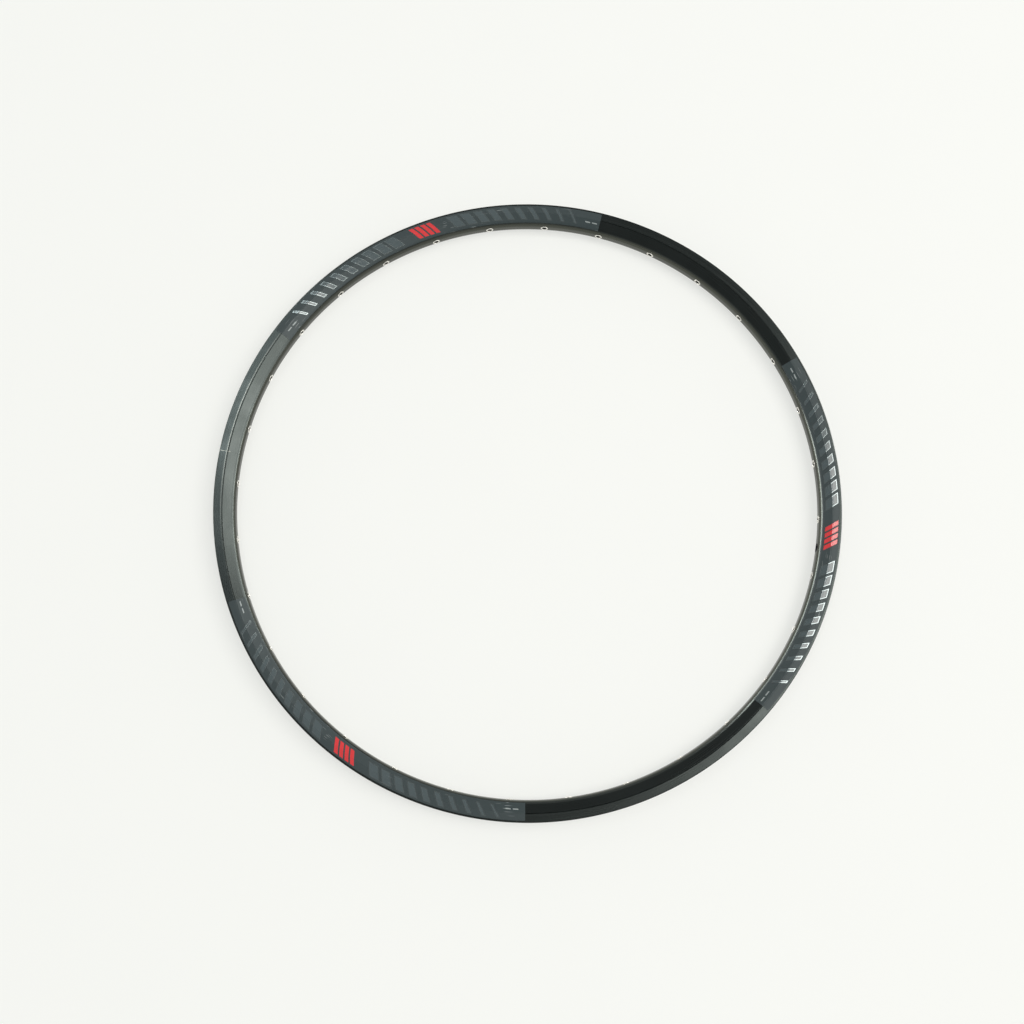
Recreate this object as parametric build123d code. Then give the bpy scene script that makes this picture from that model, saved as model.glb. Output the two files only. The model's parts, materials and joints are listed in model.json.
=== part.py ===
from build123d import *
import os
from math import cos, degrees, radians, sin, sqrt, tan

# A double-wall bicycle rim, in millimetres. It lies on its side with the wheel's axis on Z and the
# wheel's centre at the origin. The valve hole is on +X, and the rolled hoop's butt joint is on -X.

# Tyre side
bead_seat_diameter = 584.0  # the 27.5 in tyre size
flange_height = 6.0  # lip above the bead seat
inner_width = 20.0  # between the two bead hooks
outer_width = 25.0  # over the two side bands
hook_height = 2.6  # straight inner face of the bead hook
hook_undercut = 0.8  # how far the flange stands back below the hook
bead_seat_width = 3.4
well_depth = 3.0  # drop centre below the bead seats
well_floor_margin = 0.5  # flat floor beside the nipple holes
lip_bevel = 0.9

# Side wall and spoke bed
section_height = 19.6  # lip to spoke bed
band_height = 8.0  # flat band from the lip to the groove
groove_width = 0.9
groove_depth = 0.4
facet_angle = 27.5  # lean of the lower facet from the band, in degrees
bed_width = 15.8  # between the feet of the two facets
bed_land_margin = 0.6  # flat land beside the eyelets, before the sloping shoulders

# Walls round the hollow
side_wall = 1.2
bridge_wall = 1.1
bed_wall = 1.9

# Drilling
spoke_count = 32
spoke_bore = 4.5  # hole of the eyelet, for the spoke nipple
access_hole = 8.5  # tyre side, lets the nipple in
valve_hole = 8.5

# Spoke eyelets
eyelet_wall = 0.6
eyelet_flange_diameter = 7.2
eyelet_flange_edge = 0.25
eyelet_proud = 0.8  # crown of the flange above the spoke bed
eyelet_tail = 0.8  # barrel past the bed, into the hollow
eyelet_fit = 0.05

# Joint of the rolled hoop
joint_gap = 0.1
sleeve_end_gap = 3.0  # between the sleeve's end and the nearest eyelet
sleeve_wall = 1.2
sleeve_fit = 0.1

# Film decals on the upper side
film_thickness = 0.1
film_glue = 0.12  # adhesive between hoop and film
film_arc = 70.1  # degrees
film_starts = (84.7, 208.5, 327.3)  # degrees from the valve hole, stuck on by hand
film_lip_gap = 2.0
film_foot_gap = 1.0

# Worked out from the sizes above
bead_seat_radius = bead_seat_diameter / 2
lip_radius = bead_seat_radius + flange_height
floor_radius = bead_seat_radius - well_depth
bed_radius = lip_radius - section_height
half_width = outer_width / 2
half_mouth = inner_width / 2
half_floor = access_hole / 2 + well_floor_margin
half_bed = bed_width / 2
half_land = eyelet_flange_diameter / 2 + bed_land_margin
flange_inside = half_mouth + hook_undercut
well_edge = flange_inside - bead_seat_width
facet_lean = radians(facet_angle)
facet_top = lip_radius - band_height - groove_width
facet_foot = facet_top - (half_width - half_bed) / tan(facet_lean)
eyelet_barrel = spoke_bore / 2 + eyelet_wall
spoke_pitch = 360 / spoke_count
spoke_angles = [spoke_pitch * (i + 0.5) for i in range(spoke_count)]


def ring_face(half_outline):
    """A face on the radial plane, from the outline (radius, height) of its upper half."""
    lower_half = [(r, -z) for r, z in reversed(half_outline)]
    return Plane.XZ * make_face(Polyline(*half_outline, *lower_half, close=True))


def hoop_outline():
    """Upper half of the extrusion: well, bead seat, hook, lip, band, groove, facet, shoulder and land."""
    hook_foot = lip_radius - hook_height
    return [
        (floor_radius, half_floor),
        (bead_seat_radius, well_edge),
        (bead_seat_radius, flange_inside),
        (hook_foot - hook_undercut, flange_inside),
        (hook_foot, half_mouth),
        (lip_radius, half_mouth),
        (lip_radius, half_width - lip_bevel),
        (lip_radius - lip_bevel, half_width),
        (facet_top + groove_width, half_width),
        (facet_top + groove_width / 2, half_width - groove_depth),
        (facet_top, half_width),
        (facet_foot, half_bed),
        (bed_radius, half_land),
    ]


def inner_corner(before, corner, after, wall_before, wall_after):
    """A corner of an outline moved in by the wall of the edge before it and the wall of the edge after it."""
    before, corner, after = Vector(*before), Vector(*corner), Vector(*after)
    run_in = (corner - before).normalized()
    run_out = (after - corner).normalized()
    turn = run_in.X * run_out.Y - run_in.Y * run_out.X
    shift = (run_in * wall_after - run_out * wall_before) * (1 / turn)
    return (corner.X + shift.X, corner.Y + shift.Y)


def hollow_outline(inset):
    """Upper half of the hollow between tyre bridge and spoke bed, drawn in from its walls by inset."""
    box = [
        (floor_radius, 0),
        (floor_radius, half_floor),
        (bead_seat_radius, well_edge),
        (bead_seat_radius, half_width),
        (facet_top, half_width),
        (facet_foot, half_bed),
        (bed_radius, half_land),
        (bed_radius, 0),
    ]
    walls = [bridge_wall] * 3 + [side_wall] * 2 + [bed_wall] * 2
    walls = [-(wall + inset) for wall in walls]
    return [inner_corner(*box[i : i + 3], *walls[i : i + 2]) for i in range(len(walls) - 1)]


def radial_holes(diameter, inner_radius, outer_radius, angles):
    """Drill bodies that point outward from the wheel's centre."""
    middle = (inner_radius + outer_radius) / 2
    drill = Pos(middle, 0, 0) * Rot(0, 90, 0) * Cylinder(diameter / 2, outer_radius - inner_radius)
    return [Rot(0, 0, angle) * drill for angle in angles]


def make_hoop():
    """The rolled extrusion, drilled for eyelets, nipples and the valve, with its butt joint on -X."""
    section = ring_face(hoop_outline()) - ring_face(hollow_outline(0))
    hollow_middle = (floor_radius + bed_radius) / 2
    inside_bed = bed_radius - bed_wall
    barrel_hole = 2 * (eyelet_barrel + eyelet_fit)
    cuts = radial_holes(barrel_hole, inside_bed, hollow_middle, spoke_angles)
    cuts += radial_holes(access_hole, hollow_middle, lip_radius, spoke_angles)
    cuts += radial_holes(valve_hole, inside_bed, lip_radius, [0])
    section_middle = (bed_radius + lip_radius) / 2
    cuts.append(Pos(-section_middle, 0, 0) * Box(2 * section_height, joint_gap, 2 * outer_width))
    return revolve(section, Axis.Z, 360) - cuts


def make_eyelet():
    """One flanged eyelet on +X. Its flange rests on the hollow curve of the spoke bed."""
    bore = spoke_bore / 2
    flange = eyelet_flange_diameter / 2
    seat = sqrt(bed_radius**2 - flange**2)
    tail_end = bed_radius + bed_wall + eyelet_tail
    outline = [
        (bore, bed_radius - eyelet_proud),
        (flange, seat - eyelet_flange_edge),
        (flange, seat),
        (eyelet_barrel, seat),
        (eyelet_barrel, tail_end),
        (bore, tail_end),
    ]
    turned = revolve(Plane.XZ * make_face(Polyline(*outline, close=True)), Axis.Z, 360)
    return Rot(0, 90, 0) * turned


def make_sleeve():
    """The hollow insert that bridges the joint inside the hoop, between the two nearest eyelets."""
    arc = spoke_pitch - 2 * degrees((eyelet_barrel + sleeve_end_gap) / bed_radius)
    inset = sleeve_fit + sleeve_wall
    passage = [
        (floor_radius - bridge_wall - inset, half_land - inset),
        (bed_radius + bed_wall + inset, half_land - inset),
    ]
    wall = ring_face(hollow_outline(sleeve_fit)) - ring_face(passage)
    return Rot(0, 0, 180 - arc / 2) * revolve(wall, Axis.Z, arc)


def film_surface(lift):
    """The line over band and facet that a film's face follows, lifted off the hoop, bridging the groove."""
    last_radius = facet_foot + film_foot_gap * cos(facet_lean)
    last_height = half_bed + film_foot_gap * sin(facet_lean)
    return [
        (lip_radius - film_lip_gap, half_width + lift),
        (facet_top - lift * tan(facet_lean / 2), half_width + lift),
        (last_radius - lift * sin(facet_lean), last_height + lift * cos(facet_lean)),
    ]


def make_film(start):
    """A printed film on its adhesive, from near the lip to near the facet's foot."""
    outline = film_surface(film_glue) + film_surface(film_glue + film_thickness)[::-1]
    face = Plane.XZ * make_face(Polyline(*outline, close=True))
    return Rot(0, 0, start) * revolve(face, Axis.Z, film_arc)


eyelet = make_eyelet()
parts = {
    "rim_hoop": make_hoop(),
    "spoke_eyelets": Compound(children=[Rot(0, 0, angle) * eyelet for angle in spoke_angles]),
    "joint_sleeve": make_sleeve(),
}
for number, start in enumerate(film_starts, 1):
    parts[f"decal_film_{number}"] = make_film(start)

os.makedirs("parts", exist_ok=True)
for name, part in parts.items():
    export_step(part, f"parts/{name}.step")
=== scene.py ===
import json
from math import asin, atan2, cos, hypot, pi, radians, sin, tan

import bmesh
import bpy
from bpy.props import FloatProperty, FloatVectorProperty, IntProperty, PointerProperty
from mathutils import Matrix, Vector

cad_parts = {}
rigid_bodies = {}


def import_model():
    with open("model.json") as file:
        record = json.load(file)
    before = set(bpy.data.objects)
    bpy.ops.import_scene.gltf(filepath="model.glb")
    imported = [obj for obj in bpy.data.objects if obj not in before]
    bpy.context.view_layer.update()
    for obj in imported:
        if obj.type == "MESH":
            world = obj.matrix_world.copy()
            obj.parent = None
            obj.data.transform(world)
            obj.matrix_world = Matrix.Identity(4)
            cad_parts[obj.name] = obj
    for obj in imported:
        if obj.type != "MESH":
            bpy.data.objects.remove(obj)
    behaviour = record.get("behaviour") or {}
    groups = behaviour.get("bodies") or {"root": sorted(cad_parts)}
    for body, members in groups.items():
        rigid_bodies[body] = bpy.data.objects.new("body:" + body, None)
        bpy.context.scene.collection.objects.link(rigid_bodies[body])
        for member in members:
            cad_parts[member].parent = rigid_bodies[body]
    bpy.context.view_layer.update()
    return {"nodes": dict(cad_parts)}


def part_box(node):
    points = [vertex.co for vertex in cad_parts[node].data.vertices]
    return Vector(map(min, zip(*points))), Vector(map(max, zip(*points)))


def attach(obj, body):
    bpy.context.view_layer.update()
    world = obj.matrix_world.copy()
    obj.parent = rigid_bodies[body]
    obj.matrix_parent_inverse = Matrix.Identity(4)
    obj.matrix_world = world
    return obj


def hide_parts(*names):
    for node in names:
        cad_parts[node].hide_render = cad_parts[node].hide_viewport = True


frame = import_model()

bl_info = {
    "name": "Bicycle Rim",
    "version": (1, 0, 0),
    "blender": (4, 5, 0),
    "location": "View3D > Sidebar > Rim",
    "description": "A double-wall rim with spoke eyelets and film decals, and the studio it lies in",
    "category": "Add Mesh",
}

MM = 0.001
TOUCH = 0.005 * MM  # points nearer than this are one place
HOOP_LOW, HOOP_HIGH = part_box("rim_hoop")
FILM_NODES = ("decal_film_1", "decal_film_2", "decal_film_3")
AXLE = (0, 0, -1)  # spin turns clockwise about its axis
HOOP_STEPS = 384  # faces round the hoop
FILM_STEPS = 96  # faces along a film
EYELET_STEPS = 40  # faces round an eyelet
DRILL_SIDES = 64  # faces round a drilled hole
CRISP = radians(35)  # edges that turn more than this stay sharp
SENSOR_WIDTH = 36  # millimetres, for the lens


def linear(hex_code):
    """An sRGB hex colour as linear RGBA."""
    channels = [int(hex_code[i : i + 2], 16) / 255 for i in (1, 3, 5)]
    return [c / 12.92 if c <= 0.04045 else ((c + 0.055) / 1.055) ** 2.4 for c in channels] + [1.0]


def length(name, description, mm):
    """A size for the panel, given in millimetres."""
    return FloatProperty(
        name=name, description=description, default=mm * MM, precision=5, subtype="DISTANCE", unit="LENGTH"
    )


def angle(name, description, degrees):
    """An angle for the panel, given in degrees."""
    return FloatProperty(
        name=name, description=description, default=radians(degrees), subtype="ANGLE", unit="ROTATION"
    )


def colour(name, description, hex_code):
    """A colour for the panel, given as sRGB hex."""
    return FloatVectorProperty(
        name=name, description=description, default=linear(hex_code), size=4, min=0, max=1, subtype="COLOR"
    )


def position(name, description, metres):
    """A place for the panel, in metres from the wheel's centre."""
    return FloatVectorProperty(
        name=name, description=description, default=metres, subtype="XYZ", unit="LENGTH"
    )


def direction(name, description, way):
    """A direction for the panel, seen from the wheel's centre."""
    return FloatVectorProperty(name=name, description=description, default=way, subtype="DIRECTION")


def extent(name, description, metres):
    """Width and depth of a light, for the panel, in metres."""
    return FloatVectorProperty(name=name, description=description, default=metres, size=2, unit="LENGTH")


def glow(name, description, radiance):
    """How bright a light looks, for the panel, where 1 is white."""
    return FloatProperty(name=name, description=description, default=radiance, min=0)


class RimSizes(bpy.types.PropertyGroup):
    """Sizes of the extrusion, its drillings, the eyelets and the films."""

    lip_radius: length("Lip radius", "Wheel's axis to the tyre lip", HOOP_HIGH.x / MM)
    outer_width: length("Outer width", "Over the two side bands", 2 * HOOP_HIGH.z / MM)
    flange_height: length("Flange height", "Bead seat to lip", 6)
    inner_width: length("Inner width", "Between the bead hooks", 20)
    hook_height: length("Hook height", "Straight inner face of a bead hook", 2.6)
    hook_undercut: length("Hook undercut", "How far the flange stands back below its hook", 0.8)
    bead_seat_width: length("Bead seat width", "Flat that the tyre's bead sits on", 3.4)
    well_depth: length("Well depth", "Drop centre below the bead seats", 3)
    well_floor: length("Well floor", "Flat floor of the drop centre", 9.5)
    section_height: length("Section height", "Lip to spoke bed", 19.6)
    band_height: length("Band height", "Flat side band, from the lip to the groove", 8)
    groove_width: length("Groove width", "Groove between band and facet", 0.9)
    groove_depth: length("Groove depth", "Groove between band and facet", 0.4)
    facet_angle: angle("Facet angle", "Lean of the lower facet from the band", 27.5)
    bed_width: length("Bed width", "Between the feet of the two facets", 15.8)
    land_width: length("Land width", "Middle of the spoke bed, which carries the eyelets", 8.4)
    side_wall: length("Side wall", "Thickness of the walls beside the hollow", 1.2)
    bridge_wall: length("Bridge wall", "Thickness of the wall under the tyre", 1.1)
    bed_wall: length("Bed wall", "Thickness of the spoke bed", 1.9)
    joint_gap: length("Joint gap", "Between the two ends of the rolled hoop", 0.1)
    spoke_count: IntProperty(name="Spokes", description="Number of spoke holes", default=32, min=12)
    access_hole: length("Access hole", "Hole in the tyre side that lets a nipple in", 8.5)
    valve_hole: length("Valve hole", "Hole for the valve, opposite the joint", 8.5)

    lip_round: length("Lip rounding", "Taken off each side of the lip's outer corner", 0.9)
    hook_round: length("Hook rounding", "Taken off each side of the hook's corners", 0.4)
    well_round: length("Well rounding", "Taken off each side of the well's corners", 0.8)
    groove_round: length("Groove rounding", "Taken off each side of the groove's edges", 0.22)
    foot_round: length("Foot rounding", "Taken off each side of the facet's foot", 2)
    crown_round: length("Crown rounding", "Taken off each side of the land's edges", 2)

    spoke_bore: length("Spoke bore", "Hole of an eyelet", 4.5)
    eyelet_wall: length("Eyelet wall", "Thickness of an eyelet's barrel", 0.6)
    eyelet_flange: length("Eyelet flange", "Diameter of the flange on the spoke bed", 7.2)
    eyelet_edge: length("Eyelet edge", "Thickness at the flange's rim", 0.25)
    eyelet_proud: length("Eyelet height", "Crown of the flange above the spoke bed", 0.45)
    eyelet_tail: length("Eyelet tail", "Barrel past the bed, into the hollow", 0.8)
    eyelet_fit: length("Eyelet fit", "Clearance round an eyelet's barrel", 0.05)

    film_thickness: length("Film thickness", "Printed film", 0.1)
    film_glue: length("Film adhesive", "Adhesive between hoop and film", 0.12)
    film_arc: angle("Film arc", "Part of the hoop that one film covers", 70.1)
    film_starts: FloatVectorProperty(
        name="Film starts",
        description="Where each film begins, counted from the valve hole",
        default=[radians(a) for a in (84.7, 208.5, 327.3)],
        subtype="EULER",
        unit="ROTATION",
    )
    film_dip: length("Film dip", "How far a film is pressed into the groove", 0.18)
    film_lip_gap: length("Film to lip", "Bare metal between the lip and a film", 2)
    film_foot_gap: length("Film to foot", "Bare metal between a film and the facet's foot", 0.2)


class RimColours(bpy.types.PropertyGroup):
    """Colours of the finishes and of the studio."""

    anodised: colour("Anodised", "Black dye in the oxide layer", "#363a39")
    anodised_handled: colour("Anodised, handled", "Where hands and cloths have polished it", "#3f4342")
    # Painted reflection: the spoke bed is coloured paler to stand in for the pale floor it reflects.
    painted_bed_reflection: colour("Painted bed reflection", "Spoke bed, polished by the rollers that bend the hoop", "#494b45")
    # Painted shade: the groove is coloured darker to stand in for the shade in its crease.
    painted_groove_shade: colour("Painted groove shade", "What gathers in the groove", "#2e3231")
    # Painted highlights: light lines across the bands at the joint and beside the groove, where edges catch
    # the light.
    joint_painted_highlight: colour("Joint painted highlight", "Metal at the edges of the joint", "#84837d")
    plated_steel: colour("Plated steel", "Nickel of the eyelets", "#e2e0da")
    # Painted shade: the eyelets' bores are coloured dark to stand in for the shade inside the holes.
    painted_bore_shade: colour("Painted bore shade", "Inside of the eyelets, which the plating misses", "#3b3936")
    mill_aluminium: colour("Mill aluminium", "Bare metal of the sleeve and the valve hole", "#b8babd")
    film: colour("Film", "Charcoal ground of the films", "#374143")
    film_bars: colour("Bars", "Grey bars of the print", "#4d585b")
    film_outline: colour("Outlines", "Silver ink round each bar", "#7b8384")
    film_accent: colour("Accent", "Red bars of the print", "#de393d")
    film_dashes: colour("Dashes", "Pale dashes of the print", "#a3aaaa")
    film_scuff: colour("Scuffs", "Scratches that show the film's core", "#b4baba")
    paper: colour("Paper", "Seamless paper of the floor", "#f8f8f5")
    window: colour("Window", "Daylight from the key light", "#fffdf8")
    sky: colour("Sky", "Cooler daylight from the fill light", "#f6feff")
    even_white: colour("Even white", "Plain white that thins the shadow on the paper", "#fdfefa")
    walls: colour("Walls", "Pale walls near the horizon", "#f4f3ef")
    ceiling: colour("Ceiling", "Dim ceiling overhead", "#9b9e9d")


class RimStudio(bpy.types.PropertyGroup):
    """The camera and the lights."""

    camera_place: position("Camera", "Where the camera stands", (0.01487, -0.2108, 1.12161))
    camera_aim: position("Aim", "Point of the wheel's plane in mid picture", (-0.0131, -0.0124, 0))
    camera_roll: angle("Roll", "Turn of the camera about its view", 1.196)
    lens: FloatProperty(name="Lens", description="Focal length in millimetres", default=41.873, min=1)
    daylight_distance: length("Daylight distance", "Wheel's centre to window and fill", 4500)
    window_way: direction("Window", "Where the key light hangs", (0.484, 0.086, 0.871))
    window_size: extent("Window size", "Width and depth of the key light", (2.5, 2.93))
    window_roll: angle("Window roll", "Turn of the key light about its beam", 15)
    window_glow: glow("Window glow", "Radiance of the key light", 4.8)
    fill_way: direction("Fill", "Where the fill light hangs", (-0.25, 0.22, 0.943))
    fill_size: extent("Fill size", "Width and depth of the fill light", (1, 0.9))
    fill_roll: angle("Fill roll", "Turn of the fill light about its beam", -48.6)
    fill_glow: glow("Fill glow", "Radiance of the fill light", 7)
    reflector_distance: length("Reflector distance", "Wheel's centre to strips and panel", 3500)
    left_strip_way: direction("Left strip", "Where the low strip on the left stands", (-1, 0.27, 0.15))
    left_strip_size: extent("Left strip size", "Width and depth of the low strip on the left", (4, 1))
    left_strip_glow: glow("Left strip glow", "Radiance of the low strip on the left", 17)
    right_panel_way: direction("Right panel", "Where the panel on the right hangs", (1, 0.27, 0.53))
    right_panel_size: extent("Right panel size", "Width and depth of the panel on the right", (4, 2.7))
    right_panel_glow: glow("Right panel glow", "Radiance of the panel on the right", 4.2)
    right_strip_way: direction("Right strip", "Where the low strip on the right stands", (0.9, 0.4, 0.07))
    right_strip_size: extent("Right strip size", "Width and depth of the low strip on the right", (3, 0.46))
    right_strip_glow: glow("Right strip glow", "Radiance of the low strip on the right", 12)
    floor_size: length("Floor", "Side of the floor", 30000)


def new_piece(name):
    """An empty piece in edit mode, at the origin, with nothing else selected."""
    if bpy.context.object and bpy.context.object.mode != "OBJECT":
        bpy.ops.object.mode_set(mode="OBJECT")
    bpy.ops.object.select_all(action="DESELECT")
    bpy.ops.mesh.primitive_plane_add(size=MM, calc_uvs=False, location=(0, 0, 0))
    piece = bpy.context.object
    piece.name = piece.data.name = name
    bpy.ops.object.mode_set(mode="EDIT")
    bpy.ops.mesh.delete(type="VERT")
    return piece


def select_points(piece, wanted):
    """Selects only the points whose place passes the test, with the edges and faces between them."""
    bpy.ops.mesh.select_mode(type="VERT")
    bpy.ops.mesh.select_all(action="DESELECT")
    mesh = bmesh.from_edit_mesh(piece.data)
    for point in mesh.verts:
        point.select_set(wanted(point.co))
    mesh.select_flush_mode()
    bmesh.update_edit_mesh(piece.data)


def trace(points):
    """Starts a line in the piece being edited and extrudes its end from corner to corner."""
    bpy.ops.mesh.select_all(action="DESELECT")
    bpy.ops.mesh.primitive_plane_add(size=MM, calc_uvs=False, location=points[0])
    bpy.ops.mesh.merge(type="CENTER")
    for start, end in zip(points, points[1:]):
        bpy.ops.mesh.extrude_vertices_move(TRANSFORM_OT_translate={"value": end - start})


def trace_rounded(piece, corners, segments):
    """Traces a closed outline of (place, rounding) corners and leaves its rounded edge without a face."""
    trace([place for place, _ in corners])
    bpy.ops.mesh.select_linked()
    bpy.ops.mesh.edge_face_add()
    for rounding in sorted({r for _, r in corners if r}):
        places = [place for place, r in corners if r == rounding]
        select_points(piece, lambda p: any((p - place).length < TOUCH for place in places))
        bpy.ops.mesh.bevel(offset_type="ABSOLUTE", offset=rounding, segments=segments, affect="VERTICES")
    bpy.ops.mesh.select_all(action="SELECT")
    bpy.ops.mesh.delete(type="ONLY_FACE")


def face_outwards():
    """Merges doubles of the piece being edited and turns its faces outwards."""
    bpy.ops.mesh.select_all(action="SELECT")
    bpy.ops.mesh.remove_doubles(threshold=TOUCH)
    bpy.ops.mesh.normals_make_consistent(inside=False)


def dress(piece, material, slot, *nodes):
    """Ends a piece: shading that leaves flats flat, its finish, its body and the solids it stands for."""
    bpy.ops.object.mode_set(mode="OBJECT")
    bpy.ops.object.shade_smooth_by_angle(angle=CRISP)
    shading = piece.modifiers.new("flats", "WEIGHTED_NORMAL")
    shading.keep_sharp = True
    bpy.ops.object.modifier_apply(modifier=shading.name)
    piece.data.materials.clear()
    piece.data.materials.append(material)
    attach(piece, "root")
    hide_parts(*nodes)


def facet_ends(rim):
    """(radius, height) of the facet's top and of its foot."""
    half, half_bed = rim.outer_width / 2, rim.bed_width / 2
    top = rim.lip_radius - rim.band_height - rim.groove_width
    return (top, half), (top - (half - half_bed) / tan(rim.facet_angle), half_bed)


def hoop_corners(rim):
    """Upper half of the extrusion as (radius, height, rounding), from the well round to the spoke bed."""
    lip, half, mouth = rim.lip_radius, rim.outer_width / 2, rim.inner_width / 2
    seat, inside = lip - rim.flange_height, mouth + rim.hook_undercut
    hook_foot = lip - rim.hook_height
    (facet_top, _), (facet_foot, half_bed) = facet_ends(rim)
    return [
        (seat - rim.well_depth, rim.well_floor / 2, rim.well_round),
        (seat, inside - rim.bead_seat_width, rim.well_round),
        (seat, inside, rim.hook_round),
        (hook_foot - rim.hook_undercut, inside, rim.hook_round),
        (hook_foot, mouth, rim.hook_round),
        (lip, mouth, rim.hook_round),
        (lip, half, rim.lip_round),
        (facet_top + rim.groove_width, half, rim.groove_round),
        (facet_top + rim.groove_width / 2, half - rim.groove_depth, 0),
        (facet_top, half, rim.groove_round),
        (facet_foot, half_bed, rim.foot_round),
        (lip - rim.section_height, rim.land_width / 2, rim.crown_round),
    ]


def hollow_corners(rim):
    """Upper half of the hollow, as (radius, height): the extrusion's outside, moved in by its walls."""
    seat = rim.lip_radius - rim.flange_height
    floor, bed = seat - rim.well_depth, rim.lip_radius - rim.section_height
    well_edge = rim.inner_width / 2 + rim.hook_undercut - rim.bead_seat_width
    facet_top, facet_foot = facet_ends(rim)
    outside = [
        (floor, 0),
        (floor, rim.well_floor / 2),
        (seat, well_edge),
        (seat, rim.outer_width / 2),
        facet_top,
        facet_foot,
        (bed, rim.land_width / 2),
        (bed, 0),
    ]
    outside = [Vector(corner) for corner in outside]
    walls = [rim.bridge_wall] * 3 + [rim.side_wall] * 2 + [rim.bed_wall] * 2
    corners = []
    bends = zip(outside, outside[1:], outside[2:], walls, walls[1:])
    for before, corner, after, wall_in, wall_out in bends:
        run_in, run_out = (corner - before).normalized(), (after - corner).normalized()
        corners.append(corner + (run_out * wall_in - run_in * wall_out) / run_in.cross(run_out))
    return [tuple(corner) for corner in corners]


def both_halves(half_outline):
    """A half outline, (radius, height, ...), with its mirror image below added in order."""
    return half_outline + [(r, -z, *more) for r, z, *more in reversed(half_outline)]


def radial_drill(turn, inner, outer, diameter):
    """Adds a drill that points out from the axle at a turn, from one radius to another."""
    middle = (inner + outer) / 2
    bpy.ops.mesh.primitive_cylinder_add(
        vertices=DRILL_SIDES,
        radius=diameter / 2,
        depth=outer - inner,
        calc_uvs=False,
        location=(middle * cos(turn), middle * sin(turn), 0),
        rotation=(0, pi / 2, turn),
    )


def copy_round(count):
    """Copies what is selected round the axle, count in all."""
    turn = 2 * pi * (count - 1) / count
    bpy.ops.mesh.spin(steps=count - 1, dupli=True, angle=turn, center=(0, 0, 0), axis=AXLE)


def drill_hoop(hoop, rim):
    """Drills the hoop for the eyelets, for the nipples and for the valve."""
    bed = rim.lip_radius - rim.section_height
    hollow = (bed + rim.lip_radius - rim.flange_height) / 2
    drills = new_piece("drills")
    first = pi / rim.spoke_count
    radial_drill(first, bed - rim.bed_wall, hollow, rim.spoke_bore + 2 * (rim.eyelet_wall + rim.eyelet_fit))
    radial_drill(first, hollow, rim.lip_radius, rim.access_hole)
    bpy.ops.mesh.select_all(action="SELECT")
    copy_round(rim.spoke_count)
    bpy.ops.mesh.select_all(action="DESELECT")
    radial_drill(0, bed - rim.bed_wall, rim.lip_radius, rim.valve_hole)
    face_outwards()
    bpy.ops.object.mode_set(mode="OBJECT")

    bpy.context.view_layer.objects.active = hoop
    cut = hoop.modifiers.new("drillings", "BOOLEAN")
    cut.operation = "DIFFERENCE"
    cut.solver = "EXACT"
    cut.object = drills
    bpy.ops.object.modifier_apply(modifier=cut.name)
    bpy.data.objects.remove(drills)
    bpy.ops.object.select_all(action="DESELECT")
    hoop.select_set(True)


class RIM_OT_hoop(bpy.types.Operator):
    """Spin the extrusion into a hoop from one end of its joint to the other, and drill it"""

    bl_idname = "rim.hoop"
    bl_label = "Rim hoop"

    def execute(self, context):
        rim = context.scene.rim_sizes
        hoop = new_piece("hoop")
        half_gap = rim.joint_gap / 2
        skin, hollow = both_halves(hoop_corners(rim)), both_halves(hollow_corners(rim))
        outer = [(Vector((-r, -half_gap, z)), rounding) for r, z, rounding in skin]
        inner = [(Vector((-r, -half_gap, z)), 0) for r, z in hollow]
        trace_rounded(hoop, outer, segments=5)
        trace_rounded(hoop, inner, segments=1)
        bpy.ops.mesh.select_all(action="SELECT")
        gap_turn = 2 * asin(half_gap / (rim.lip_radius - rim.band_height))
        bpy.ops.mesh.spin(steps=HOOP_STEPS, angle=2 * pi - gap_turn, center=(0, 0, 0), axis=AXLE)
        for side in (-1, 1):
            select_points(hoop, lambda p: p.x < 0 and 0 < side * p.y < rim.joint_gap)
            bpy.ops.mesh.fill()
        face_outwards()
        bpy.ops.object.mode_set(mode="OBJECT")
        drill_hoop(hoop, rim)
        finish = black_anodised_aluminium(context.scene.rim_colours, rim)
        dress(hoop, finish, "anodised_aluminium", "rim_hoop")
        return {"FINISHED"}


class RIM_OT_eyelets(bpy.types.Operator):
    """Turn one eyelet about a spoke's line and copy it round the spoke bed"""

    bl_idname = "rim.eyelets"
    bl_label = "Spoke eyelets"

    def execute(self, context):
        rim = context.scene.rim_sizes
        bed = rim.lip_radius - rim.section_height
        bore, flange = rim.spoke_bore / 2, rim.eyelet_flange / 2
        barrel = bore + rim.eyelet_wall
        seat = (bed**2 - flange**2) ** 0.5
        crown, tail = bed - rim.eyelet_proud, bed + rim.bed_wall + rim.eyelet_tail
        edge = rim.eyelet_edge
        mouth_round, crown_round, flange_round = 0.8 * edge, edge, 0.5 * edge
        profile = [
            (tail, bore, 0),
            (crown + edge, bore, mouth_round),
            (crown, (bore + barrel) / 2, crown_round),
            (seat - edge, flange, flange_round),
            (seat, flange, 0),
            (seat, barrel, 0),
            (tail, barrel, 0),
        ]
        turn = pi / rim.spoke_count
        out = Vector((cos(turn), sin(turn), 0))
        up = Vector((0, 0, 1))
        corners = [(out * r + up * away, rounding) for r, away, rounding in profile]
        eyelets = new_piece("eyelets")
        trace_rounded(eyelets, corners, segments=4)
        bpy.ops.mesh.select_all(action="SELECT")
        bpy.ops.mesh.spin(steps=EYELET_STEPS, angle=2 * pi, center=(0, 0, 0), axis=out)
        face_outwards()
        copy_round(rim.spoke_count)
        dress(eyelets, nickel_plated_steel(context.scene.rim_colours, rim), "plated_steel", "spoke_eyelets")
        return {"FINISHED"}


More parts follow.
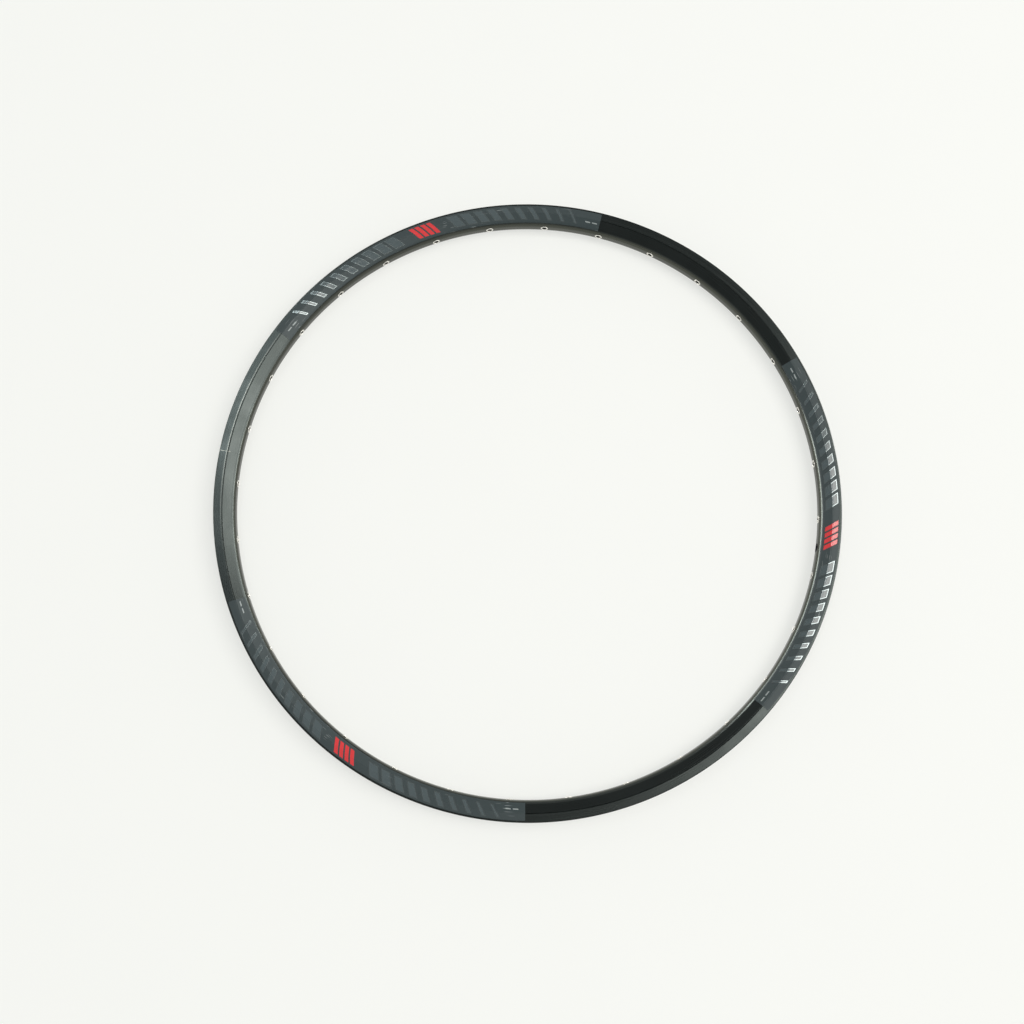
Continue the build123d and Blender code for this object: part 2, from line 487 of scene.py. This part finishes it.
def film_line(rim):
    """(radius, height) along a film's underside: band, groove, facet and part of the facet's round foot."""
    (top, half), (foot, half_bed) = facet_ends(rim)
    lean, lift = rim.facet_angle, rim.film_glue
    bed = rim.lip_radius - rim.section_height
    # The facet's foot is rounded by an arc of radius bend, about (bend_radius, bend_height).
    shoulder_lean = atan2(half_bed - rim.land_width / 2, foot - bed)
    bend = rim.foot_round / tan((shoulder_lean - lean) / 2)
    bend_radius = foot + rim.foot_round * cos(lean) + bend * sin(lean)
    bend_height = half_bed + rim.foot_round * sin(lean) - bend * cos(lean)
    turn = (rim.foot_round - rim.film_foot_gap) / bend
    round_foot = [lean + turn * share for share in (0, 0.5, 1)]
    return [
        (rim.lip_radius - rim.film_lip_gap, half + lift),
        (top + rim.groove_width, half + lift),
        (top + rim.groove_width / 2, half + lift - rim.film_dip),
        (top - lift * tan(lean / 2), half + lift),
        *((bend_radius - (bend + lift) * sin(a), bend_height + (bend + lift) * cos(a)) for a in round_foot),
    ]


def lay_print_map(film, start, rim):
    """Gives a film a UV map in metres: way along the arc from its middle, and way in from the lip."""
    layer = film.data.uv_layers.new(name="print")
    middle = start + rim.film_arc / 2
    mean_radius = rim.lip_radius - rim.band_height
    for loop in film.data.loops:
        p = film.data.vertices[loop.vertex_index].co
        turn = (atan2(p.y, p.x) - middle + pi) % (2 * pi) - pi
        layer.data[loop.index].uv = (turn * mean_radius, rim.lip_radius - hypot(p.x, p.y))


class RIM_OT_films(bpy.types.Operator):
    """Lay the three printed films over band and facet of the upper side"""

    bl_idname = "rim.films"
    bl_label = "Decal films"

    def execute(self, context):
        rim = context.scene.rim_sizes
        material = printed_film(context.scene.rim_colours)
        line = film_line(rim)
        fold_round = rim.groove_width / 5
        for node, start in zip(FILM_NODES, rim.film_starts):
            film = new_piece(node.replace("decal_", ""))
            trace([Vector((r * cos(start), r * sin(start), z)) for r, z in line])
            bpy.ops.mesh.select_all(action="SELECT")
            bpy.ops.mesh.spin(steps=FILM_STEPS, angle=rim.film_arc, center=(0, 0, 0), axis=AXLE)
            for fold, _ in line[1:-1]:
                select_points(film, lambda p: abs(hypot(p.x, p.y) - fold) < TOUCH)
                bpy.ops.mesh.bevel(offset=fold_round, segments=3, affect="EDGES")
            face_outwards()
            bpy.ops.object.mode_set(mode="OBJECT")
            if film.data.polygons[0].normal.z < 0:
                film.data.flip_normals()
            skin = film.modifiers.new("thickness", "SOLIDIFY")
            skin.thickness = rim.film_thickness
            skin.offset = 1
            bpy.ops.object.modifier_apply(modifier=skin.name)
            lay_print_map(film, start, rim)
            dress(film, material, "printed_film", node)
        return {"FINISHED"}


class RIM_OT_sleeve(bpy.types.Operator):
    """Give the sleeve inside the joint its finish"""

    bl_idname = "rim.sleeve"
    bl_label = "Joint sleeve"

    def execute(self, context):
        sleeve = frame["nodes"]["joint_sleeve"]
        sleeve.data.materials.clear()
        sleeve.data.materials.append(mill_aluminium(context.scene.rim_colours))
        return {"FINISHED"}


def add(tree, kind, inputs=None, **settings):
    """Adds a node with its settings and fills its inputs with values, sockets or nodes' first sockets."""
    node = tree.nodes.new(kind)
    for name, value in settings.items():
        setattr(node, name, value)
    for name, value in (inputs or {}).items():
        if isinstance(value, bpy.types.Node):
            value = value.outputs[0]
        if isinstance(value, bpy.types.NodeSocket):
            tree.links.new(value, node.inputs[name])
        else:
            node.inputs[name].default_value = value
    return node


def new_material(name):
    """A material with only a shader and an output."""
    material = bpy.data.materials.new(name)
    material.use_nodes = True
    tree = material.node_tree
    tree.nodes.clear()
    shader = add(tree, "ShaderNodeBsdfPrincipled")
    add(tree, "ShaderNodeOutputMaterial", {"Surface": shader})
    return material, tree, shader


def wheel_place(tree):
    """Where a point of the finish lies: its place, that place's X, Y and Z, and its way from the axle."""
    place = add(tree, "ShaderNodeTexCoord").outputs["Object"]
    axes = add(tree, "ShaderNodeSeparateXYZ", {0: place}).outputs
    flat = add(tree, "ShaderNodeVectorMath", {0: place, 1: (1, 1, 0)}, operation="MULTIPLY")
    radius = add(tree, "ShaderNodeVectorMath", {0: flat}, operation="LENGTH").outputs["Value"]
    return place, axes, radius


def die_lines(tree, line, run):
    """Noise drawn out along the hoop, with no seam: line is its spacing and run its length, in metres."""
    _, axes, radius = wheel_place(tree)
    ways = add(tree, "ShaderNodeCombineXYZ", {0: axes["X"], 1: radius, 2: axes["Z"]})
    stretch = (1 / run, 1 / line, 1 / line)
    drawn_out = add(tree, "ShaderNodeVectorMath", {0: ways, 1: stretch}, operation="MULTIPLY")
    turned = add(tree, "ShaderNodeMath", {0: axes["Y"], 1: run}, operation="DIVIDE")
    return add(
        tree,
        "ShaderNodeTexNoise",
        {"Vector": drawn_out, "W": turned, "Scale": 1, "Detail": 2, "Roughness": 0.6},
        noise_dimensions="4D",
    )


def painted_joint_highlights(tree, rim, axes, radius):
    """Mask of the painted highlights on the bands by the hoop's joint, opposite the valve."""
    # A painted highlight: a light hairline across the bands, where the joint's edges catch the light.
    hairline_width = 0.5 * MM
    band_low = rim.outer_width / 2 - rim.groove_depth / 2
    height = add(tree, "ShaderNodeMath", {0: axes["Z"]}, operation="ABSOLUTE")
    on_band = add(
        tree, "ShaderNodeMapRange", {"Value": height, "From Min": band_low - MM, "From Max": band_low}
    )
    at_joint = add(tree, "ShaderNodeMath", {0: axes["Y"], 1: 0, 2: hairline_width / 2}, operation="COMPARE")
    hairline = add(tree, "ShaderNodeMath", {0: at_joint, 1: on_band}, operation="MULTIPLY")

    # A painted highlight: a light line along the band, beside the groove, that fades out on each side of
    # the joint.
    glint_width, glint_middle, glint_end = 0.5 * MM, 30 * MM, 130 * MM
    line_radius = rim.lip_radius - rim.band_height + 1.5 * glint_width
    on_line = add(
        tree, "ShaderNodeMath", {0: radius, 1: line_radius, 2: glint_width / 2}, operation="COMPARE"
    )
    from_middle = add(tree, "ShaderNodeMath", {0: axes["Y"], 1: glint_middle}, operation="SUBTRACT")
    away = add(tree, "ShaderNodeMath", {0: from_middle}, operation="ABSOLUTE")
    fade = add(
        tree,
        "ShaderNodeMapRange",
        {"Value": away, "From Min": glint_middle, "From Max": glint_end, "To Min": 0.75, "To Max": 0},
    )
    glint_line = add(tree, "ShaderNodeMath", {0: on_line, 1: fade}, operation="MULTIPLY")

    painted_glints = add(tree, "ShaderNodeMath", {0: hairline, 1: glint_line}, operation="MAXIMUM")
    joint_side = add(tree, "ShaderNodeMath", {0: axes["X"], 1: 0}, operation="LESS_THAN")
    return add(tree, "ShaderNodeMath", {0: painted_glints, 1: joint_side}, operation="MULTIPLY")


def valve_bore(tree, rim, place, axes):
    """Mask of the valve hole's wall, which is bare because it was drilled after the dye."""
    hole_wall = rim.valve_hole / 2 + TOUCH
    bed_surface = rim.lip_radius - rim.section_height + TOUCH
    across = add(tree, "ShaderNodeVectorMath", {0: place, 1: (0, 1, 1)}, operation="MULTIPLY")
    off_valve = add(tree, "ShaderNodeVectorMath", {0: across}, operation="LENGTH").outputs["Value"]
    in_hole = add(tree, "ShaderNodeMath", {0: off_valve, 1: hole_wall}, operation="LESS_THAN")
    past_bed = add(tree, "ShaderNodeMath", {0: axes["X"], 1: bed_surface}, operation="GREATER_THAN")
    return add(tree, "ShaderNodeMath", {0: in_hole, 1: past_bed}, operation="MULTIPLY")


def black_anodised_aluminium(colours, rim):
    """Extruded aluminium, rolled, etched and anodised black."""
    # Dyed oxide on etched metal: nearly black, a broad satin sheen, and faint die lines round the hoop.
    material, tree, shader = new_material("black_anodised_aluminium")
    place, axes, radius = wheel_place(tree)
    hand_print = 40 * MM
    marks = add(
        tree,
        "ShaderNodeTexNoise",
        {"Vector": place, "Scale": 1 / hand_print, "Detail": 4, "Roughness": 0.55},
    )
    handled = add(tree, "ShaderNodeMapRange", {"Value": marks, "From Min": 0.45, "From Max": 0.75})

    # The spoke bed is painted paler than the rest of the hoop: a painted reflection of the pale floor it
    # faces.
    _, (facet_foot, _) = facet_ends(rim)
    on_bed = add(
        tree,
        "ShaderNodeMapRange",
        {"Value": radius, "From Min": facet_foot - MM, "From Max": facet_foot, "To Min": 1, "To Max": 0},
    )

    # The groove is painted darker: painted shade in the crease.
    groove_middle = rim.lip_radius - rim.band_height - rim.groove_width / 2
    shade_reach = 0.6 * rim.groove_width
    in_groove = add(
        tree, "ShaderNodeMath", {0: radius, 1: groove_middle, 2: shade_reach}, operation="COMPARE"
    )

    # Each coat lies over those before it.
    coats = (
        (handled, colours.anodised_handled),
        (on_bed, colours.painted_bed_reflection),
        (painted_joint_highlights(tree, rim, axes, radius), colours.joint_painted_highlight),
        (valve_bore(tree, rim, place, axes), colours.mill_aluminium),
        (in_groove, colours.painted_groove_shade),
    )
    tone = colours.anodised
    for mask, coat in coats:
        tone = add(tree, "ShaderNodeMix", {0: mask, 6: tone, 7: coat}, data_type="RGBA").outputs[2]
    tree.links.new(tone, shader.inputs["Base Color"])

    # Die lines break up the sheen, and handled metal is a little smoother.
    lines = die_lines(tree, 0.6 * MM, 90 * MM)  # real die lines lie about 0.1 mm apart, too fine to show
    satin = add(
        tree,
        "ShaderNodeMapRange",
        {"Value": lines, "From Min": 0.3, "From Max": 0.7, "To Min": 0.22, "To Max": 0.3},
    )
    polish = -0.05
    worn = add(tree, "ShaderNodeMath", {0: handled, 1: polish, 2: satin}, operation="MULTIPLY_ADD")
    relief = add(tree, "ShaderNodeBump", {"Strength": 0.25, "Distance": 0.02 * MM, "Height": lines})
    tree.links.new(worn.outputs[0], shader.inputs["Roughness"])
    tree.links.new(relief.outputs[0], shader.inputs["Normal"])
    shader.inputs["Metallic"].default_value = 1
    return material


def nickel_plated_steel(colours, rim):
    """Pressed steel, bright nickel plated."""
    # Warm silver, with small ripples from the press that break up its glints. The bore is painted dark,
    # as painted shade inside the hole.
    material, tree, shader = new_material("nickel_plated_steel")
    place, _, radius = wheel_place(tree)
    bed = rim.lip_radius - rim.section_height
    inside = add(
        tree,
        "ShaderNodeMapRange",
        {"Value": radius, "From Min": bed - rim.eyelet_edge, "From Max": bed + rim.eyelet_edge},
    )
    tone = add(
        tree, "ShaderNodeMix", {0: inside, 6: colours.plated_steel, 7: colours.painted_bore_shade}, data_type="RGBA"
    )
    tree.links.new(tone.outputs[2], shader.inputs["Base Color"])
    ripple = 1.2 * MM
    ripples = add(
        tree, "ShaderNodeTexNoise", {"Vector": place, "Scale": 1 / ripple, "Detail": 3, "Roughness": 0.5}
    )
    tarnish = add(
        tree,
        "ShaderNodeMapRange",
        {"Value": ripples, "From Min": 0.35, "From Max": 0.7, "To Min": 0.25, "To Max": 0.4},
    )
    relief = add(tree, "ShaderNodeBump", {"Strength": 0.3, "Distance": 0.05 * MM, "Height": ripples})
    tree.links.new(tarnish.outputs[0], shader.inputs["Roughness"])
    tree.links.new(relief.outputs[0], shader.inputs["Normal"])
    shader.inputs["Metallic"].default_value = 1
    return material


def mill_aluminium(colours):
    """Aluminium as it leaves the extrusion die, sawn to length."""
    # Pale grey, half matt, with lines along the pull.
    material, tree, shader = new_material("mill_aluminium")
    lines = die_lines(tree, 0.5 * MM, 60 * MM)  # drawn coarser than the real 0.1 mm
    satin = add(tree, "ShaderNodeMapRange", {"Value": lines, "To Min": 0.3, "To Max": 0.5})
    relief = add(tree, "ShaderNodeBump", {"Strength": 0.3, "Distance": 0.03 * MM, "Height": lines})
    tree.links.new(satin.outputs[0], shader.inputs["Roughness"])
    tree.links.new(relief.outputs[0], shader.inputs["Normal"])
    shader.inputs["Base Color"].default_value = colours.mill_aluminium
    shader.inputs["Metallic"].default_value = 1
    return material


def print_masks(tree, sheet):
    """Masks of the print: bars with their outlines, bars without, red bars, and dashes."""
    # Every bar leans the same way, and the bars stand in one row, some way in from the lip.
    slant = tan(radians(34))
    row_middle, row_reach = 9.3 * MM, 5.7 * MM
    axes = add(tree, "ShaderNodeSeparateXYZ", {0: sheet}).outputs
    slanted = add(tree, "ShaderNodeMath", {0: axes["Y"], 1: slant, 2: axes["X"]}, operation="MULTIPLY_ADD")
    along = add(tree, "ShaderNodeMath", {0: slanted, 1: row_middle * slant}, operation="SUBTRACT")
    way = add(tree, "ShaderNodeMath", {0: along}, operation="ABSOLUTE")
    row = add(tree, "ShaderNodeMath", {0: axes["Y"], 1: row_middle, 2: row_reach}, operation="COMPARE")

    # Grey bars that thin out towards both ends of the film. The outline is the edge of each bar.
    pitch, outline, nearest, furthest = 13 * MM, 0.7 * MM, 26 * MM, 156 * MM
    half_step = 0.5
    steps = add(tree, "ShaderNodeMath", {0: way, 1: pitch}, operation="DIVIDE")
    phase = add(tree, "ShaderNodeMath", {0: steps}, operation="FRACT")
    number = add(tree, "ShaderNodeMath", {0: steps}, operation="FLOOR")
    first, last = nearest / pitch, furthest / pitch
    share = add(
        tree,
        "ShaderNodeMapRange",
        {"Value": number, "From Min": first, "From Max": last, "To Min": 0.4, "To Max": 0.07},
    )
    inner_share = add(tree, "ShaderNodeMath", {0: share, 1: outline / pitch}, operation="SUBTRACT")
    zone_middle, zone_reach = (nearest + furthest) / 2, (furthest - nearest) / 2
    zone = add(tree, "ShaderNodeMath", {0: way, 1: zone_middle, 2: zone_reach}, operation="COMPARE")
    bar = add(tree, "ShaderNodeMath", {0: phase, 1: half_step, 2: share}, operation="COMPARE")
    in_zone = add(tree, "ShaderNodeMath", {0: bar, 1: zone}, operation="MINIMUM")
    bars = add(tree, "ShaderNodeMath", {0: in_zone, 1: row}, operation="MINIMUM")
    inner_reach = row_reach - outline
    inner_row = add(
        tree, "ShaderNodeMath", {0: axes["Y"], 1: row_middle, 2: inner_reach}, operation="COMPARE"
    )
    core = add(tree, "ShaderNodeMath", {0: phase, 1: half_step, 2: inner_share}, operation="COMPARE")
    core_in_row = add(tree, "ShaderNodeMath", {0: core, 1: inner_row}, operation="MINIMUM")
    cores = add(tree, "ShaderNodeMath", {0: core_in_row, 1: bars}, operation="MINIMUM")

    # Four red bars in the middle.
    accent_pitch, accent_width, accent_end = 6 * MM, 4.2 * MM, 12 * MM
    stepped = add(tree, "ShaderNodeMath", {0: along, 1: accent_pitch / 2}, operation="ADD")
    accent_off = add(tree, "ShaderNodeMath", {0: stepped, 1: accent_pitch / 2}, operation="PINGPONG")
    accent_bar = add(tree, "ShaderNodeMath", {0: accent_off, 1: accent_width / 2}, operation="LESS_THAN")
    accent_zone = add(tree, "ShaderNodeMath", {0: way, 1: accent_end}, operation="LESS_THAN")
    accent_in_zone = add(tree, "ShaderNodeMath", {0: accent_bar, 1: accent_zone}, operation="MINIMUM")
    accents = add(tree, "ShaderNodeMath", {0: accent_in_zone, 1: row}, operation="MINIMUM")

    # Two pale dashes at each end.
    dash_pitch, dash_share, dash_from, dash_to = 7 * MM, 0.7, 160.5 * MM, 173.5 * MM
    dash_row_middle, dash_row_reach = 12 * MM, 0.45 * MM
    dash_steps = add(tree, "ShaderNodeMath", {0: way, 1: dash_pitch}, operation="DIVIDE")
    dash_phase = add(tree, "ShaderNodeMath", {0: dash_steps}, operation="FRACT")
    dash_bar = add(tree, "ShaderNodeMath", {0: dash_phase, 1: dash_share}, operation="LESS_THAN")
    dash_middle, dash_reach = (dash_from + dash_to) / 2, (dash_to - dash_from) / 2
    dash_zone = add(tree, "ShaderNodeMath", {0: way, 1: dash_middle, 2: dash_reach}, operation="COMPARE")
    dash_row = add(
        tree, "ShaderNodeMath", {0: axes["Y"], 1: dash_row_middle, 2: dash_row_reach}, operation="COMPARE"
    )
    dash_in_zone = add(tree, "ShaderNodeMath", {0: dash_bar, 1: dash_zone}, operation="MINIMUM")
    dashes = add(tree, "ShaderNodeMath", {0: dash_in_zone, 1: dash_row}, operation="MINIMUM")
    return bars, cores, accents, dashes


def scuff_mask(tree, sheet):
    """Mask of short straight scuffs along the film, in a few places only."""
    scuff_width, scuff_run, scuffed_patch = 0.9 * MM, 14 * MM, 30 * MM
    scuff_level = 0.73  # of the noise, where a scuff begins
    stretch = (1 / scuff_run, 1 / scuff_width, 1)
    drawn_out = add(tree, "ShaderNodeMapping", {"Vector": sheet, "Scale": stretch})
    hairs = add(tree, "ShaderNodeTexNoise", {"Vector": drawn_out, "Scale": 1, "Detail": 0})
    hair = add(tree, "ShaderNodeMath", {0: hairs, 1: scuff_level}, operation="GREATER_THAN")
    patches = add(tree, "ShaderNodeTexNoise", {"Vector": sheet, "Scale": 1 / scuffed_patch, "Detail": 1})
    patch = add(
        tree, "ShaderNodeMapRange", {"Value": patches, "From Min": 0.56, "From Max": 0.7, "To Max": 0.55}
    )
    return add(tree, "ShaderNodeMath", {0: hair, 1: patch}, operation="MULTIPLY")


def printed_film(colours):
    """Calendered vinyl film, screen printed with gloss inks on a satin ground."""
    # A soft charcoal sheen. The inks are smoother than the ground, so they flash where they face the
    # window, most of all the silver ink of the outlines.
    material, tree, shader = new_material("printed_vinyl_film")
    sheet = add(tree, "ShaderNodeUVMap", uv_map="print")
    bars, cores, accents, dashes = print_masks(tree, sheet)
    layers = (
        (bars, colours.film_outline),
        (cores, colours.film_bars),
        (accents, colours.film_accent),
        (dashes, colours.film_dashes),
        (scuff_mask(tree, sheet), colours.film_scuff),
    )
    tone = colours.film
    for mask, ink in layers:
        tone = add(tree, "ShaderNodeMix", {0: mask, 6: tone, 7: ink}, data_type="RGBA").outputs[2]
    tree.links.new(tone, shader.inputs["Base Color"])

    inks = add(tree, "ShaderNodeMath", {0: bars, 1: accents}, operation="MAXIMUM")
    gloss = add(tree, "ShaderNodeMapRange", {"Value": inks, "To Min": 0.4, "To Max": 0.13})
    grain, unevenness = 0.9 * MM, 0.06  # orange peel of the calendered film
    peel = add(tree, "ShaderNodeTexNoise", {"Vector": sheet, "Scale": 1 / grain, "Detail": 1})
    surface = add(tree, "ShaderNodeMath", {0: peel, 1: unevenness, 2: gloss}, operation="MULTIPLY_ADD")
    relief = add(tree, "ShaderNodeBump", {"Strength": 0.15, "Distance": 0.02 * MM, "Height": peel})
    outlines = add(tree, "ShaderNodeMath", {0: bars, 1: cores}, operation="SUBTRACT")
    tree.links.new(surface.outputs[0], shader.inputs["Roughness"])
    tree.links.new(relief.outputs[0], shader.inputs["Normal"])
    tree.links.new(outlines.outputs[0], shader.inputs["Metallic"])
    tree.links.new(inks.outputs[0], shader.inputs["Coat Weight"])
    shader.inputs["Specular IOR Level"].default_value = 0.3
    shader.inputs["Coat Roughness"].default_value = 0.1
    return material


def seamless_paper(colours):
    """Uncoated white studio paper."""
    # Plain and matt, with hardly any mottle.
    material, tree, shader = new_material("seamless_paper")
    place = add(tree, "ShaderNodeTexCoord").outputs["Object"]
    cloud = 90 * MM
    mottle = add(tree, "ShaderNodeTexNoise", {"Vector": place, "Scale": 1 / cloud, "Detail": 2})
    shade = add(tree, "ShaderNodeMapRange", {"Value": mottle, "To Min": 0, "To Max": 0.04})
    tone = add(tree, "ShaderNodeMix", {0: shade, 6: colours.paper, 7: colours.ceiling}, data_type="RGBA")
    tree.links.new(tone.outputs[2], shader.inputs["Base Color"])
    shader.inputs["Roughness"].default_value = 0.9
    shader.inputs["Specular IOR Level"].default_value = 0.2

    # Most of what the camera and the metal see of it is an even white, which thins the shadow.
    even_share = 0.65
    rays = add(tree, "ShaderNodeLightPath").outputs
    camera, glossy, through = (rays[f"Is {kind} Ray"] for kind in ("Camera", "Glossy", "Transmission"))
    seen = add(tree, "ShaderNodeMath", {0: camera, 1: glossy}, operation="MAXIMUM")
    seen_through = add(tree, "ShaderNodeMath", {0: seen, 1: through}, operation="MAXIMUM")
    share = add(tree, "ShaderNodeMath", {0: seen_through, 1: even_share}, operation="MULTIPLY")
    white = add(tree, "ShaderNodeEmission", {"Color": colours.even_white, "Strength": 1})
    surface = add(tree, "ShaderNodeMixShader", {0: share, 1: shader, 2: white})
    output = next(node for node in tree.nodes if node.type == "OUTPUT_MATERIAL")
    tree.links.new(surface.outputs[0], output.inputs["Surface"])
    return material


def soft_light(studio, name, distance, tint, roll=0):
    """One of the studio's lights: a rectangle, even all over, that faces the wheel's centre."""
    way, (width, depth), radiance = (getattr(studio, f"{name}_{what}") for what in ("way", "size", "glow"))
    towards = Vector(way).normalized()
    bpy.ops.object.light_add(type="AREA", location=towards * distance)
    lamp = bpy.context.object
    lamp.name = name
    upright = towards.to_track_quat("Z", "Y").to_matrix()
    lamp.rotation_euler = (upright @ Matrix.Rotation(roll, 3, "Z")).to_euler()
    lamp.data.shape = "RECTANGLE"
    lamp.data.size, lamp.data.size_y = width, depth
    lamp.data.energy = radiance * pi * width * depth
    lamp.data.color = tint[:3]
    lamp.visible_camera = False
    return lamp


def pale_room(colours):
    """A world of pale walls round the horizon under a dimmer ceiling."""
    world = bpy.data.worlds.new("pale_room")
    world.use_nodes = True
    tree = world.node_tree
    tree.nodes.clear()
    wall_top, ceiling_edge = 0.2, 0.5  # heights on a globe of radius 1
    way = add(tree, "ShaderNodeSeparateXYZ", {0: add(tree, "ShaderNodeTexCoord").outputs["Generated"]})
    rise = add(
        tree,
        "ShaderNodeMapRange",
        {"Value": way.outputs["Z"], "From Min": wall_top, "From Max": ceiling_edge},
        interpolation_type="SMOOTHSTEP",
    )
    tone = add(tree, "ShaderNodeMix", {0: rise, 6: colours.walls, 7: colours.ceiling}, data_type="RGBA")
    light = add(tree, "ShaderNodeBackground", {"Color": tone.outputs[2], "Strength": 1})
    add(tree, "ShaderNodeOutputWorld", {"Surface": light})
    return world


class RIM_OT_stage(bpy.types.Operator):
    """Set the floor, the light and the camera"""

    bl_idname = "rim.stage"
    bl_label = "Studio"

    def execute(self, context):
        scene, studio, colours = context.scene, context.scene.rim_studio, context.scene.rim_colours
        bpy.ops.object.select_all(action="DESELECT")
        bpy.ops.mesh.primitive_plane_add(size=studio.floor_size, location=(0, 0, HOOP_LOW.z))
        floor = bpy.context.object
        floor.name = "floor"
        bpy.ops.object.transform_apply(location=True, rotation=True, scale=True)
        floor.data.materials.append(seamless_paper(colours))

        soft_light(studio, "window", studio.daylight_distance, colours.window, studio.window_roll)
        soft_light(studio, "fill", studio.daylight_distance, colours.sky, studio.fill_roll)
        for name in ("left_strip", "right_panel", "right_strip"):
            reflector = soft_light(studio, name, studio.reflector_distance, colours.walls)
            reflector.visible_diffuse = False  # it shows in the metal, and doesn't light the floor
        scene.world = pale_room(colours)
        scene.view_settings.view_transform = "Standard"

        lens = bpy.data.cameras.new("camera")
        lens.lens = studio.lens
        lens.sensor_width = SENSOR_WIDTH
        camera = bpy.data.objects.new("camera", lens)
        scene.collection.objects.link(camera)
        view = Vector(studio.camera_aim) - Vector(studio.camera_place)
        upright = view.to_track_quat("-Z", "Y").to_matrix().to_4x4()
        turned = upright @ Matrix.Rotation(studio.camera_roll, 4, "Z")
        camera.matrix_world = Matrix.Translation(studio.camera_place) @ turned
        scene.camera = camera
        return {"FINISHED"}


class RIM_PT_panel(bpy.types.Panel):
    """The rim's pieces, sizes and colours"""

    bl_label = "Rim"
    bl_idname = "RIM_PT_panel"
    bl_space_type = "VIEW_3D"
    bl_region_type = "UI"
    bl_category = "Rim"

    def draw(self, context):
        for operator in OPERATORS:
            self.layout.operator(operator.bl_idname)
        for group in (context.scene.rim_sizes, context.scene.rim_colours, context.scene.rim_studio):
            column = self.layout.column(align=True)
            for name in group.__annotations__:
                column.prop(group, name)


OPERATORS = (RIM_OT_hoop, RIM_OT_eyelets, RIM_OT_films, RIM_OT_sleeve, RIM_OT_stage)
CLASSES = (RimSizes, RimColours, RimStudio, *OPERATORS, RIM_PT_panel)


def register():
    """Registers the classes and hangs the settings on the scene."""
    for cls in CLASSES:
        bpy.utils.register_class(cls)
    bpy.types.Scene.rim_sizes = PointerProperty(type=RimSizes)
    bpy.types.Scene.rim_colours = PointerProperty(type=RimColours)
    bpy.types.Scene.rim_studio = PointerProperty(type=RimStudio)


def unregister():
    """Takes the settings off the scene and unregisters the classes."""
    del bpy.types.Scene.rim_studio
    del bpy.types.Scene.rim_colours
    del bpy.types.Scene.rim_sizes
    for cls in reversed(CLASSES):
        bpy.utils.unregister_class(cls)


def main():
    """Registers the add-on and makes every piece."""
    register()
    bpy.ops.rim.hoop()
    bpy.ops.rim.eyelets()
    bpy.ops.rim.films()
    bpy.ops.rim.sleeve()
    bpy.ops.rim.stage()


if __name__ == "__main__":
    main()
